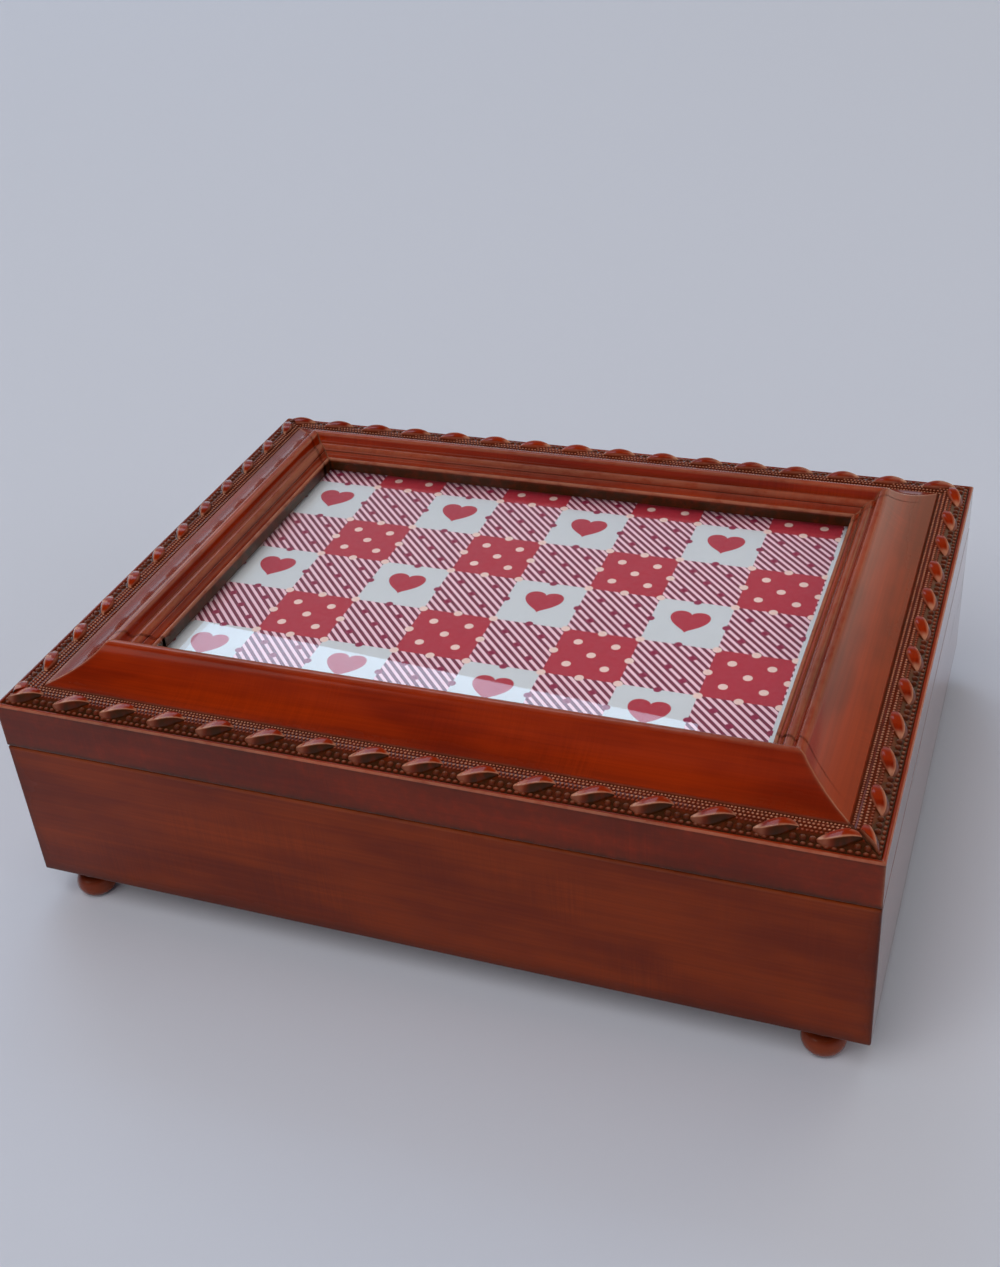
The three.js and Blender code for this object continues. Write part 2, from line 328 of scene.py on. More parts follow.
feed(stain, result["Height"], calc(stain, "ADD", marks_of_brush, calc(stain, "MULTIPLY", clouds, 0.6)))
print("group:", stain.name, len(stain.nodes), "nodes")

# %% [markdown]
# ## Rubbed edges and painted highlights
# Where hands and cloths touch, on rims, beads and the tops of the carving, the stain thins and a paler tan
# shows. The same pale tan is also painted highlight and sheen on the rims, the ridge, the rounded step,
# the pearl tops and the leaf crests, so this mark is partly wear and partly painted light. The mesh says
# where such places are. The group breaks that mask up with noise so that the pale comes and goes along an
# edge, as the wear does on the real one.

# %% Group: rubbed edges and painted highlights
wear_and_highlight_group, given, result = new_group(
    "Rubbed edges and painted highlights",
    {"Board": "vector", "Color": "colour", "Rubbed colour": "colour", "Rub": "number"},
    {"Color": "colour", "Mask": "number"},
)
patchy = noise(wear_and_highlight_group, given["Board"], (260, 500, 1), 3, 0.6)
worn_and_lit = calc(wear_and_highlight_group, "MULTIPLY", given["Rub"], window(wear_and_highlight_group, patchy, 0.25, 0.6, 0.45, 1.0), clamp=True)
feed(wear_and_highlight_group, result["Color"], blend(wear_and_highlight_group, worn_and_lit, given["Color"], given["Rubbed colour"]))
feed(wear_and_highlight_group, result["Mask"], worn_and_lit)
print("group:", wear_and_highlight_group.name)

# %% [markdown]
# ## Antique glaze and painted shade
# After staining, a dark brown-olive glaze is wiped over the moulding. It stays in the groove, between the
# pearls and under the leaves, and it is duller than the wood around it. The same dark is also painted
# shade: on the lower sides of the pearls, the bellies of the leaves, the wall over the picture, the gaps at
# the mitres and under the lid, the lower edge and corners of the case and the feet. The mesh gives its
# depth as a mask. Reading the mask from the shape keeps it in place in every view, which a camera trick
# would not.

# %% Group: antique glaze and painted shade
glaze_and_shade_group, given, result = new_group(
    "Antique glaze and painted shade",
    {
        "Board": "vector",
        "Color": "colour",
        "Glaze colour": "colour",
        "Glaze": "number",
        "Roughness": "number",
    },
    {"Color": "colour", "Roughness": "number"},
)
pooled = noise(glaze_and_shade_group, given["Board"], (420, 420, 1), 3, 0.6)
depth = calc(glaze_and_shade_group, "MULTIPLY", given["Glaze"], window(glaze_and_shade_group, pooled, 0.25, 0.6, 0.7, 1.0), clamp=True)
feed(glaze_and_shade_group, result["Color"], blend(glaze_and_shade_group, depth, given["Color"], given["Glaze colour"]))
dull = calc(glaze_and_shade_group, "MULTIPLY_ADD", depth, 0.2, given["Roughness"], clamp=True)
feed(glaze_and_shade_group, result["Roughness"], dull)
print("group:", glaze_and_shade_group.name)

# %% [markdown]
# ## Materials
# Each material is one Principled shader. Only what changes over the surface comes from nodes. The stained
# wood itself mirrors little, and a thin clear coat over it gives the gloss. Both are plain numbers on the
# shader. Where a leaf has its broad facet, the stain is painted a warmer orange for the light that the facet
# catches, fully on the front and right rails and less on the back and left: painted light.

# %% Helper for a wooden material
lit_facet_colour = srgb(150, 42, 6)
brush_relief = 0.015


def new_material(name):
    material = bpy.data.materials.new(name)
    material.use_nodes = True
    tree = material.node_tree
    return material, tree, tree.nodes["Principled BSDF"]


def add_bump(tree, shader, height, depth):
    """Turns a height from 0 to 1 into a normal, with the real depth of the relief in metres."""
    bump = tree.nodes.new("ShaderNodeBump")
    bump.inputs["Strength"].default_value = 1.0
    bump.inputs["Distance"].default_value = depth
    feed(tree, bump.inputs["Height"], height)
    tree.links.new(bump.outputs["Normal"], shader.inputs["Normal"])


def finished_wood(name, light, dark, wear_and_highlight_colour, glaze_and_shade, clouding, strokes, polish):
    """Stain, rubbed edges with painted highlight, glaze with painted shade: the order a finisher works in.
    """
    material, tree, shader = new_material(name)
    board = mark(tree, "board", "Vector")
    stained = use_group(
        tree, stain, Board=board, Light_stain=light, Dark_stain=dark, Clouding=clouding, Strokes=strokes
    )
    facet = mark(tree, "facet")
    with_lit_facets = blend(tree, facet, stained["Color"], lit_facet_colour)
    worn_and_lit = use_group(tree, wear_and_highlight_group, Board=board, Color=with_lit_facets, Rubbed_colour=wear_and_highlight_colour, Rub=mark(tree, "wear_and_highlight"))
    glazed = use_group(
        tree,
        glaze_and_shade_group,
        Board=board,
        Color=worn_and_lit["Color"],
        Glaze_colour=glaze_and_shade,
        Glaze=mark(tree, "glaze_and_shade"),
        Roughness=stained["Roughness"],
    )
    feed(tree, shader.inputs["Base Color"], glazed["Color"])
    feed(tree, shader.inputs["Roughness"], glazed["Roughness"])
    shader.inputs["Specular IOR Level"].default_value = polish
    shader.inputs["Coat Weight"].default_value = 1.0
    shader.inputs["Coat Roughness"].default_value = 0.1
    shader.inputs["Coat IOR"].default_value = 1.25
    add_bump(tree, shader, stained["Height"], brush_relief * mm)
    return material


# The third colour is the pale of wear and painted highlight, the fourth the dark of glaze and painted shade.
lid_wood = finished_wood(
    "stained_moulding",
    srgb(160, 43, 0),
    srgb(116, 22, 0),
    srgb(200, 140, 108),
    srgb(60, 30, 8),
    clouding=0.8,
    strokes=0.4,
    polish=0.08,
)
board_wood = finished_wood(
    "stained_boards",
    srgb(133, 47, 2),
    srgb(107, 33, 4),
    srgb(176, 96, 54),
    srgb(64, 26, 16),
    clouding=0.9,
    strokes=0.4,
    polish=0.04,
)
foot_wood = finished_wood(
    "stained_feet",
    srgb(130, 48, 16),
    srgb(96, 32, 10),
    srgb(160, 84, 44),
    srgb(50, 22, 12),
    clouding=0.8,
    strokes=0.25,
    polish=0.1,
)
print("woods:", lid_wood.name, board_wood.name, foot_wood.name)

# %% [markdown]
# ## One mitred strip
# Every board and rail is a length of one section with its ends cut at 45 degrees. It could be extruded and
# cut by booleans, but a sweep that places its own end points gives clean faces and lets the outer corners
# be rounded. A section is a list of (inset from the outer face, height, rub, glaze), drawn as a maker would
# draw it, and a strip lies along X with its outer face at Y 0 until it is turned to its side of the box.

# %% Section helpers


def lerp(a, b, share):
    return a + (b - a) * share


def smooth(low, high, value):
    share = min(max((value - low) / (high - low), 0), 1)
    return share * share * (3 - 2 * share)


def arc(inset, height, radius, start, end, steps, wear_and_highlight=0.0, glaze_and_shade=0.0):
    """Points of a round edge, from one angle to another, in degrees."""
    points = []
    for i in range(steps + 1):
        angle = math.radians(lerp(start, end, i / steps))
        points.append((inset + radius * math.cos(angle), height + radius * math.sin(angle), wear_and_highlight, glaze_and_shade))
    return points


def bezier(start, pull, end, steps):
    """Points of a hollow or a swelling between two points. Each point is (inset, height, rub, glaze)."""
    points = []
    for i in range(steps + 1):
        share = i / steps
        first = [lerp(a, b, share) for a, b in zip(start, pull)]
        second = [lerp(a, b, share) for a, b in zip(pull, end)]
        points.append(tuple(lerp(a, b, share) for a, b in zip(first, second)))
    return points


# %% Mitred strip
end_steps = (0.0, 0.06, 0.14, 0.26, 0.42, 0.65, 1.0, 1.6, 2.6, 4.0)
middle_steps = 24
mitre_ease = 0.09
mitre_gap = 0.05
ease_reach = 0.12
wear_and_highlight_reach = 0.2
gape_reach = 0.5
glaze_and_shade_reach = 1.2


def strip(section, length, corner_round, end_glaze_and_shade=0.0, end_wear_and_highlight=0.0, open_mitre=None):
    """Points, faces and marks of a section drawn out along X with both ends mitred.
    Each reach says how far from the mitre its effect fades. open_mitre gives, for an inset and an end,
    how much further the joint gapes there."""
    section = np.array(section)
    around = len(section)
    ahead = np.roll(section[:, :2], -1, axis=0) - np.roll(section[:, :2], 1, axis=0)
    ahead /= np.linalg.norm(ahead, axis=1)[:, None]
    inward = np.stack([ahead[:, 1], -ahead[:, 0]], axis=1)
    half = length / 2
    first_step = corner_round * (1 - math.sqrt(0.5))
    stations = [(-1, e) for e in end_steps]
    stations += [(0, lerp(-0.94, 0.94, i / middle_steps)) for i in range(middle_steps + 1)]
    stations += [(1, e) for e in reversed(end_steps)]
    points = []
    marks = []
    for end, step in stations:
        inset = section[:, 0].copy()
        height = section[:, 1].copy()
        wear_and_highlight = section[:, 2].copy()
        glaze_and_shade = section[:, 3].copy()
        if end:
            ease = mitre_ease * math.exp(-step / ease_reach)
            inset += inward[:, 0] * ease
            height += inward[:, 1] * ease
            near = max(corner_round - first_step - step, 0)
            sunk = corner_round - math.sqrt(corner_round**2 - near**2)
            on_face = section[:, 0] < sunk
            along = half - mitre_gap / 2 - np.maximum(first_step, section[:, 0]) - step
            inset = np.where(on_face, sunk, inset)
            if open_mitre:
                along -= np.array([open_mitre(i, end) for i in section[:, 0]]) * math.exp(-step / gape_reach)
            along *= end
            glaze_and_shade = np.maximum(glaze_and_shade, end_glaze_and_shade * math.exp(-step / glaze_and_shade_reach))
            wear_and_highlight = np.maximum(wear_and_highlight, end_wear_and_highlight * math.exp(-step / wear_and_highlight_reach))
        else:
            along = step * (half - section[:, 0])
        points.append(np.stack([along, inset, height], axis=1))
        marks.append(np.stack([wear_and_highlight, glaze_and_shade, np.zeros(around)], axis=1))
    faces = []
    for k in range(len(stations) - 1):
        for j in range(around):
            after = (j + 1) % around
            low = k * around
            high = low + around
            faces.append((low + j, high + j, high + after, low + after))
    faces.append(tuple(range(around)))
    faces.append(tuple(reversed(range((len(stations) - 1) * around, len(stations) * around))))
    lengths = np.linalg.norm(np.roll(section[:, :2], -1, axis=0) - section[:, :2], axis=1)
    across = np.concatenate([[0], np.cumsum(lengths)[:-1]])
    return np.concatenate(points), faces, np.concatenate(marks), np.tile(across, len(stations))


# %% Mesh from parts
MARKS = ("wear_and_highlight", "glaze_and_shade", "facet")
side_shift = 7.3
sharp_angle = 38


def gather(parts):
    """Joins (points, faces, marks, across) parts into one."""
    start = 0
    all_faces = []
    for points, faces, _, _ in parts:
        all_faces += [tuple(start + i for i in face) for face in faces]
        start += len(points)
    points, _, marks, across = zip(*parts)
    return np.concatenate(points), all_faces, np.concatenate(marks), np.concatenate(across)


def make_piece(name, part, material, place=None, side=0):
    """A mesh object in metres with its board coordinate and marks, standing for the CAD node of its name."""
    points, faces, marks, across = part
    mesh = bpy.data.meshes.new(name)
    mesh.from_pydata((points * mm).tolist(), [], faces)
    board = np.stack([points[:, 0] * mm, across * mm, np.full(len(points), side * side_shift)], axis=1)
    mesh.attributes.new("board", "FLOAT_VECTOR", "POINT").data.foreach_set("vector", board.ravel())
    for column, label in enumerate(MARKS):
        values = np.ascontiguousarray(marks[:, column], dtype=np.float32)
        mesh.attributes.new(label, "FLOAT", "POINT").data.foreach_set("value", values)
    tidy = bmesh.new()
    tidy.from_mesh(mesh)
    bmesh.ops.recalc_face_normals(tidy, faces=tidy.faces)
    tidy.to_mesh(mesh)
    tidy.free()
    if place is not None:
        mesh.transform(place)
    mesh.shade_smooth()
    mesh.set_sharp_from_angle(angle=math.radians(sharp_angle))
    mesh.materials.append(material)
    piece = bpy.data.objects.new(name, mesh)
    scene.collection.objects.link(piece)
    node = name.replace("fine_", "")
    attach(piece, "root")
    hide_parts(node)
    mesh.calc_loop_triangles()
    print(name, len(mesh.loop_triangles), "triangles")
    return piece


SIDES = ("front", "right", "back", "left")


def side_facts(side):
    """Length of a side, and the turn that takes a strip there."""
    turns = SIDES.index(side)
    length, reach = (box_width, box_length / 2) if turns % 2 else (box_length, box_width / 2)
    turn = Matrix.Rotation(turns * math.pi / 2, 4, "Z")
    return length, turn @ Matrix.Translation((0, -reach * mm, 0))


# %% [markdown]
# ## The four boards
# The case is of plain boards with their long edges eased. Their colour is darker towards the corners and the
# lower edge, painted shade, and the top edge is a little paler, partly rubbed by the lid and partly painted
# highlight.

# %% Boards of the case
edge_round = 0.6
board_corner_round = 0.6
rebate = 4
rebate_top = foot_height + 4.15
board_section = (
    arc(edge_round, foot_height + edge_round, edge_round, 270, 180, 6, wear_and_highlight=0.1, glaze_and_shade=0.7)
    + [(0, foot_height + 1.8, 0, 0.45), (0, foot_height + 3.5, 0, 0.1), (0, foot_height + 6, 0, 0)]
    + [(0, body_top - 4, 0, 0), (0, body_top - edge_round - 0.3, 0, 0.1)]
    + arc(edge_round, body_top - edge_round, edge_round, 180, 90, 6, wear_and_highlight=0.2, glaze_and_shade=0.1)
    + [(wall_thickness - 0.4, body_top, 0.1, 0), (wall_thickness, body_top - 0.4, 0.1, 0)]
    + [(wall_thickness, rebate_top, 0, 0.2), (wall_thickness - rebate, rebate_top, 0, 0.2)]
    + [(wall_thickness - rebate, foot_height, 0, 0.3)]
)
for side in SIDES:
    length, place = side_facts(side)
    # Darker towards each corner: painted shade.
    part = strip(board_section, length, board_corner_round, end_glaze_and_shade=0.75)
    make_piece("fine_body_" + side, part, board_wood, place, SIDES.index(side))

# %% [markdown]
# ## The lid moulding
# The section reads from outside in: a plain side, a small bead on the rim, a groove, the bed of the carved
# band, a long hollow that climbs to the ridge, a steep drop, a rounded step, and a last hollow with a bead
# over the picture. Heights are counted from the rim. The last two numbers of a point are its wear and
# highlight and its glaze and shade: the rim bead, the ridge, the rounded step and the sight bead are rubbed
# paler with painted highlight and sheen, and every groove, the bed, the wall over the picture and the
# underside keep their glaze with painted shade.

# %% Section of the moulding
lid_side_height = 12.1
rim = lid_bottom + lid_side_height
lip_underside = glass_high[2] + 0.1
moulding_underside = backing_low[2] - 1
rabbet_inset = rail_width - 2.4
rim_bead = 0.55
band_start = 1.25
band_end = 8.0
cove_start = 8.55
ridge_inset = 20.6
ridge_round = 1.2
ridge_height = 7.8
sight_height = 3.1
sight_bead = 0.5


def band_ground(inset):
    """Height of the carved band's bed over the rim: a low swelling that rises inwards."""
    share = (inset - band_start) / (band_end - band_start)
    return lerp(-0.4, 0.7, share) + 0.7 * 4 * share * (1 - share)


def moulding_section():
    points = arc(edge_round, lid_bottom + edge_round, edge_round, 270, 180, 6, wear_and_highlight=0, glaze_and_shade=0.9)
    points += [(0, lid_bottom + 1.6, 0, 0.6), (0, lid_bottom + 5, 0, 0.5), (0, rim - 1.3, 0, 0.6)]
    points += [(0, rim - rim_bead - 0.12, 0, 0.8)]
    points += arc(rim_bead, rim - rim_bead, rim_bead, 180, 120, 5, wear_and_highlight=0.45)
    points += arc(rim_bead, rim - rim_bead, rim_bead, 108, 15, 6, wear_and_highlight=0.05, glaze_and_shade=0.2)
    points += [(1.12, rim - 0.7, 0, 0.6), (1.18, rim - 0.7, 0, 0.9)]
    for i in range(14):
        inset = lerp(band_start, band_end, i / 13)
        points.append((inset, rim + band_ground(inset), 0, lerp(1, 0.75, smooth(3.4, 4.6, inset))))
    points += [(8.15, rim + 0.72, 0, 0.9), (8.35, rim + 1.0, 0.2, 0.5)]
    cove_foot = np.array((cove_start, rim + 1.3, 0, 0.25))
    ridge_foot = np.array((ridge_inset - ridge_round, rim + ridge_height - 0.35 * ridge_round, 0, 0))
    scoop = (cove_foot + ridge_foot) / 2 + np.array((1.54, -1.54, 0, -0.2))
    points += bezier(cove_foot, scoop, ridge_foot, 22)
    crest = rim + ridge_height
    points += [
        (ridge_inset - 0.8, crest - 0.16, 0.1, 0),
        (ridge_inset - 0.45, crest - 0.06, 0.2, 0),
        (ridge_inset, crest - 0.048, 0.25, 0),
        (ridge_inset + 0.45, crest - 0.07, 0.25, 0),
        (ridge_inset + 0.8, crest - 0.22, 0.3, 0),
        (ridge_inset + 1.05, crest - 0.5, 0.2, 0),
    ]
    drop_foot = (22.6, rim + 5.3, 0, 0.35)
    points += bezier((ridge_inset + 1.2, crest - 0.9, 0, 0), (22.1, rim + 5.75, 0, 0), drop_foot, 5)
    points += bezier((22.72, rim + 5.26, 0.2, 0.3), (23.9, rim + 6.0, 0.5, 0), (25, rim + 4.4, 0.1, 0.2), 10)
    points += [(25.12, rim + 4.16, 0, 0.9), (25.26, rim + 4.2, 0, 0.6)]
    points += bezier((25.4, rim + 4.2, 0.2, 0), (25.7, rim + 3.1, 0, 0), (26.45, rim + 2.95, 0.1, 0), 6)
    points += [(26.52, rim + 2.82, 0, 0.7)]
    bead = rail_width - sight_bead
    points += arc(bead, rim + sight_height - sight_bead, sight_bead, 160, 0, 9, wear_and_highlight=0.5)
    points += [(rail_width, rim + 2.2, 0, 0.8), (rail_width, rim + 1.8, 0, 1)]
    points += [(rail_width, lip_underside, 0, 1), (rabbet_inset, lip_underside, 0, 1)]
    points += [(rabbet_inset, moulding_underside, 0, 0.8)]
    points += [(wall_thickness, moulding_underside, 0, 0.6), (wall_thickness, lid_bottom, 0, 0.4)]
    return points


section = moulding_section()
section_top = max(point[1] for point in section)
print("section points", len(section), "ridge", round(section_top, 2), "model", round(ridge_top, 2))

# %% [markdown]
# ## Leaves and pearls
# The band is pressed or carved with a rope of leaves: each is a long tail that climbs to a crest, a steep
# dark belly on its outer side, and a broad, nearly level facet inside that catches the light. Three big
# pearls fill the gap after a leaf, and rows of small ones fill the bed. Each is its own closed shell that
# sinks a little into the bed, which is how applied ornament really sits and keeps every shell simple. A
# bump could fake all this from above, but not the silhouette that the leaves give the rim.

# %% One leaf
leaf_tail = 5.3
leaf_tip = 3.8
leaf_width = 4.0
leaf_height = 1.8
leaf_sink = 0.35
belly_bulge = 0.45
facet_rise = 0.08
facet_edge = 12
leaf_stations = 26
belly_shares = (0.0, 0.05, 0.15, 0.32, 0.55, 0.8, 1.0)
facet_shares = (0.07, 0.22, 0.42, 0.62, 0.8, 0.9, 0.96, 1.0)


def leaf_middle(s):
    """Inset of the leaf's middle line, from its tail at 0 to its tip at 1."""
    return lerp(2.85, 5.05, smooth(0, 1, s))


def leaf_half(s):
    return leaf_width / 2 * math.sin(math.pi * s) ** 0.8


def leaf_part(at, facet_light):
    """Rings of points along the leaf. In a ring, a climbs the belly to the crest and b crosses the facet."""
    points = []
    marks = []
    rings = leaf_stations - 1
    for i in range(1, leaf_stations):
        s = i / leaf_stations
        x = at + lerp(-leaf_tail, leaf_tip, s)
        half = leaf_half(s)
        rise = leaf_height * math.sin(math.pi * s) ** 0.7
        crest = leaf_middle(s) - 0.5 * half
        outer = leaf_middle(s) - half
        inner = leaf_middle(s) + half
        # Painted light on the leaf: the belly is painted dark as shade, most towards the tip, the tail and
        # the crest are painted pale as highlight, and the facet gets its warmer orange for the light it
        # catches.
        ends = 1 - smooth(0.1, 0.26, s) + smooth(0.87, 0.95, s)
        facet = facet_light * smooth(0.32, 0.4, s) * (1 - smooth(0.74, 0.84, s))
        shadow = lerp(0.4, 1, smooth(0.2, 0.5, s))
        for a in belly_shares:
            inset = lerp(outer, crest, a)
            height = band_ground(inset) + (rise * a**belly_bulge if a else -leaf_sink)
            points.append((x, inset, rim + height))
            top = smooth(0.8, 1, a)
            tail = 0.4 - 0.4 * smooth(0.2, 0.4, s)
            marks.append((max(0.9 * top, tail), shadow * (1 - 0.95 * top), 0))
        for b in facet_shares:
            inset = lerp(crest, inner, b)
            level = band_ground(crest) + rise * (1 + facet_rise * b - (1 + facet_rise) * b**facet_edge)
            height = max(level, band_ground(inset) + 0.1) if b < 1 else band_ground(inset) - leaf_sink
            points.append((x, inset, rim + height))
            low = smooth(0.88, 1, b)
            side = 1 - smooth(0.03, 0.12, b) + 0.6 * smooth(0.82, 0.92, b)
            pale = 0.8 * max(min(side, 1), ends) * (1 - low)
            marks.append((pale, low * 0.8, facet * smooth(0.03, 0.12, b) * (1 - smooth(0.84, 0.93, b))))
    around = len(belly_shares) + len(facet_shares)
    for s, x in ((0, -leaf_tail), (1, leaf_tip)):
        inset = leaf_middle(s)
        points.append((at + x, inset, rim + band_ground(inset) - leaf_sink))
        marks.append((0, 1, 0))
    tail, tip = len(points) - 2, len(points) - 1
    faces = []
    for p in range(around):
        after = (p + 1) % around
        faces.append((tail, p, after))
        faces.append((tip, (rings - 1) * around + after, (rings - 1) * around + p))
        for r in range(rings - 1):
            low = r * around
            high = low + around
            faces.append((low + p, high + p, high + after, low + after))
    points = np.array(points)
    return points, faces, np.array(marks, dtype=float), points[:, 1].copy()


# %% One pearl


def pearl_part(x, inset, radius, sink, sides, levels, long=1.0, wear_and_highlight=1.0, glaze_and_shade=0.0):
    """Half a ball, a little longer along the rail if long is over 1, with its foot under the bed."""
    base = rim + band_ground(min(max(inset, band_start), band_end)) - sink
    points = []
    marks = []
    for level in range(levels):
        lift = math.pi / 2 * level / levels
        for k in range(sides):
            turn = 2 * math.pi * k / sides
            out = radius * math.cos(lift)
            height = math.sin(lift)
            along = x + long * out * math.cos(turn)
            points.append((along, inset + out * math.sin(turn), base + radius * height))
            # The top is painted pale and the lower side dark: wear and painted highlight above, glaze and
            # painted shade below.
            marks.append((wear_and_highlight * smooth(0.6, 1, height), max(glaze_and_shade, 0.9 - 0.9 * smooth(0.3, 0.8, height)), 0))
    points.append((x, inset, base + radius))
    marks.append((wear_and_highlight, glaze_and_shade, 0))
    faces = [tuple(reversed(range(sides)))]
    for k in range(sides):
        after = (k + 1) % sides
        for level in range(levels - 1):
            low = level * sides
            high = low + sides
            faces.append((low + k, low + after, high + after, high + k))
        faces.append(((levels - 1) * sides + k, (levels - 1) * sides + after, len(points) - 1))
    points = np.array(points)
    return points, faces, np.array(marks, dtype=float), points[:, 1].copy()


# %% Carving of one rail
big_pearl = 0.8
big_inset = 2.95
big_first = 2.8
big_pitch = 1.95
big_count = 3
big_sink = 0.2
outer_long = 1.3
pearl_rows = (  # inset, pitch, radius, sink, rub, glaze
    (1.75, 1.51, 0.5, 0.1, 0.6, 0.5),
    (4.6, 0.925, 0.4, 0.1, 0.4, 0.2),
    (5.55, 0.925, 0.44, 0.08, 1.0, 0.0),
    (6.6, 0.925, 0.44, 0.08, 1.0, 0.0),
    (7.65, 0.757, 0.37, 0.05, 1.0, 0.0),
)


def under_leaf(x, inset, firsts, margin):
    """Whether a pearl would lie under a leaf."""
    for centre in firsts:
        s = (x - centre + leaf_tail) / (leaf_tail + leaf_tip)
        if 0 < s < 1 and abs(inset - leaf_middle(s)) < leaf_half(s) + margin:
            return True
    return False


def carving(length, first_leaf, leaf_pitch, facet_light):
    """Leaves and pearls of a rail, as separate parts. The first leaf is counted from the rail's left end."""
    half = length / 2
    count = int((length - first_leaf) / leaf_pitch) + 3
    centres = [first_leaf + (k - 1) * leaf_pitch - half for k in range(count)]
    parts = [leaf_part(x, facet_light) for x in centres]
    for x in centres:
        for n in range(big_count):
            at = x + big_first + n * big_pitch
            parts.append(pearl_part(at, big_inset, big_pearl, big_sink, 12, 4, wear_and_highlight=0.5, glaze_and_shade=0.75))
    for row, (inset, pitch, radius, sink, wear_and_highlight, glaze_and_shade) in enumerate(pearl_rows):
        fits = int(length / pitch) + 1
        for k in range(fits):
            x = (k - fits / 2 + 0.5 * (row % 2)) * pitch
            if row in (1, 2, 3) and under_leaf(x, inset, centres, -0.15):
                continue
            long = 1.0 if row else outer_long
            parts.append(pearl_part(x, inset, radius, sink, 8, 3, long, wear_and_highlight, glaze_and_shade))
    return parts


# %% [markdown]
# ## Cutting the carving at the mitres
# The moulding is cut with its carving on it, so a leaf or a pearl that meets a mitre is sliced. Only the
# parts near an end need that. They go through a bmesh that is cut by the mitre plane and closed again. The
# front right joint gapes a little along the band. The cut edges of the lid carry a thin pale line, a painted
# highlight, and the joints are a little darker, painted shade.

# %% Slicing


def slice_ends(parts, half, gaps):
    """The parts with what lies beyond each end's mitre plane cut away and the cuts closed."""
    kept = []
    near = []
    for part in parts:
        points = part[0]
        reach = np.abs(points[:, 0]) + points[:, 1]
        if reach.max() < half - 1:
            kept.append(part)
        elif reach.min() < half:
            near.append(part)
    sliced = bmesh.new()
    layers = [sliced.verts.layers.float.new(label) for label in MARKS]
    for points, faces, marks, _ in near:
        verts = [sliced.verts.new(p) for p in points]
        for vert, values in zip(verts, marks):
            for layer, value in zip(layers, values):
                vert[layer] = value
        for face in faces:
            sliced.faces.new([verts[i] for i in face])
    for end, gap in zip((-1, 1), gaps):
        everything = sliced.verts[:] + sliced.edges[:] + sliced.faces[:]
        origin = (end * (half - gap), 0, 0)
        bmesh.ops.bisect_plane(
            sliced, geom=everything, plane_co=origin, plane_no=(end, 1, 0), clear_outer=True, dist=1e-5
        )
        rims = [edge for edge in sliced.edges if edge.is_boundary]
        bmesh.ops.holes_fill(sliced, edges=rims, sides=0)
    sliced.verts.index_update()
    points = np.array([v.co for v in sliced.verts])
    faces = [tuple(v.index for v in face.verts) for face in sliced.faces]
    marks = np.array([[v[layer] for layer in layers] for v in sliced.verts])
    sliced.free()
    kept.append((points, faces, marks, points[:, 1].copy()))
    return kept


# %% The four rails of the lid
first_leaf = {"front": 6.82, "right": 5.5, "back": 9.5, "left": 8.9}
leaf_pitch = {"front": 12.5, "right": 12.62, "back": 12.5, "left": 12.62}
# How much painted light the leaf facets get on each rail.
facet_light_by_side = {"front": 1.0, "right": 1.0, "back": 0.3, "left": 0.4}
lid_corner_round = 0.35
carving_gap = 0.03
front_right_gape = 0.5
gape_start = 2.2
gape_end = 9


def front_right_mitre(gaping_end):
    """The carving stops short of the front right corner, so the joint gapes along the band."""

    def gape(inset, end):
        if end != gaping_end or not gape_start < inset < gape_end:
            return 0.0
        return front_right_gape * math.sin(math.pi * (inset - gape_start) / (gape_end - gape_start))

    return gape


gaping = {"front": 1, "right": -1}
for side in SIDES:
    length, place = side_facts(side)
    end = gaping.get(side, 0)
    gape = front_right_mitre(end) if end else None
    gaps = [carving_gap + (front_right_gape if end == e else 0) for e in (-1, 1)]
    # The mitre ends get a thin painted highlight and a little painted shade.
    base = strip(section, length, lid_corner_round, end_glaze_and_shade=0.15, end_wear_and_highlight=0.9, open_mitre=gape)
    carved = carving(length, first_leaf[side], leaf_pitch[side], facet_light_by_side[side])
    parts = slice_ends(carved, length / 2, gaps)
    rail = gather([base] + parts)
    make_piece("fine_lid_rail_" + side, rail, lid_wood, place, SIDES.index(side))

# %% [markdown]
# ## Feet
# Each foot is a small turned bun: a flat base, a round belly and a short neck under the box. Its colour is
# darker at the base and at the neck, painted shade, and paler round the belly, painted highlight. A lathe in
# code is the same idea as the real tool: one outline turned about an axis.

# %% Turned feet
foot_radius = 5
foot_base = 3
foot_neck = 3
neck_height = 2.6
foot_segments = 48


def foot_part(x, y, top):
    belly = (top - neck_height) / 2
    outline = [(foot_base - 0.5, 0, 0, 0.6), (foot_base - 0.15, 0.12, 0, 0.5)]
    for i in range(1, 18):
        turn = math.pi * i / 18
        end = foot_base if i < 9 else foot_neck
        radius = end + (foot_radius - end) * math.sin(turn)
        height = belly * (1 - math.cos(turn))
        outline.append((radius, height, 0.25 * math.sin(turn) ** 4, 0.5 * (1 - math.sin(turn))))
    outline += [(foot_neck, top - neck_height, 0, 0.7), (foot_neck, top, 0, 0.6)]
    points = []
    marks = []
    across = []
    for radius, height, wear_and_highlight, glaze_and_shade in outline:
        for k in range(foot_segments):
            turn = 2 * math.pi * k / foot_segments
            points.append((x + radius * math.cos(turn), y + radius * math.sin(turn), height))
            marks.append((wear_and_highlight, glaze_and_shade, 0))
            across.append(height)
    faces = [tuple(range(foot_segments)), tuple(range(len(points) - foot_segments, len(points)))]
    for level in range(len(outline) - 1):
        low = level * foot_segments
        high = low + foot_segments
        for k in range(foot_segments):
            after = (k + 1) % foot_segments
            faces.append((low + k, low + after, high + after, high + k))
    return np.array(points), faces, np.array(marks, dtype=float), np.array(across)


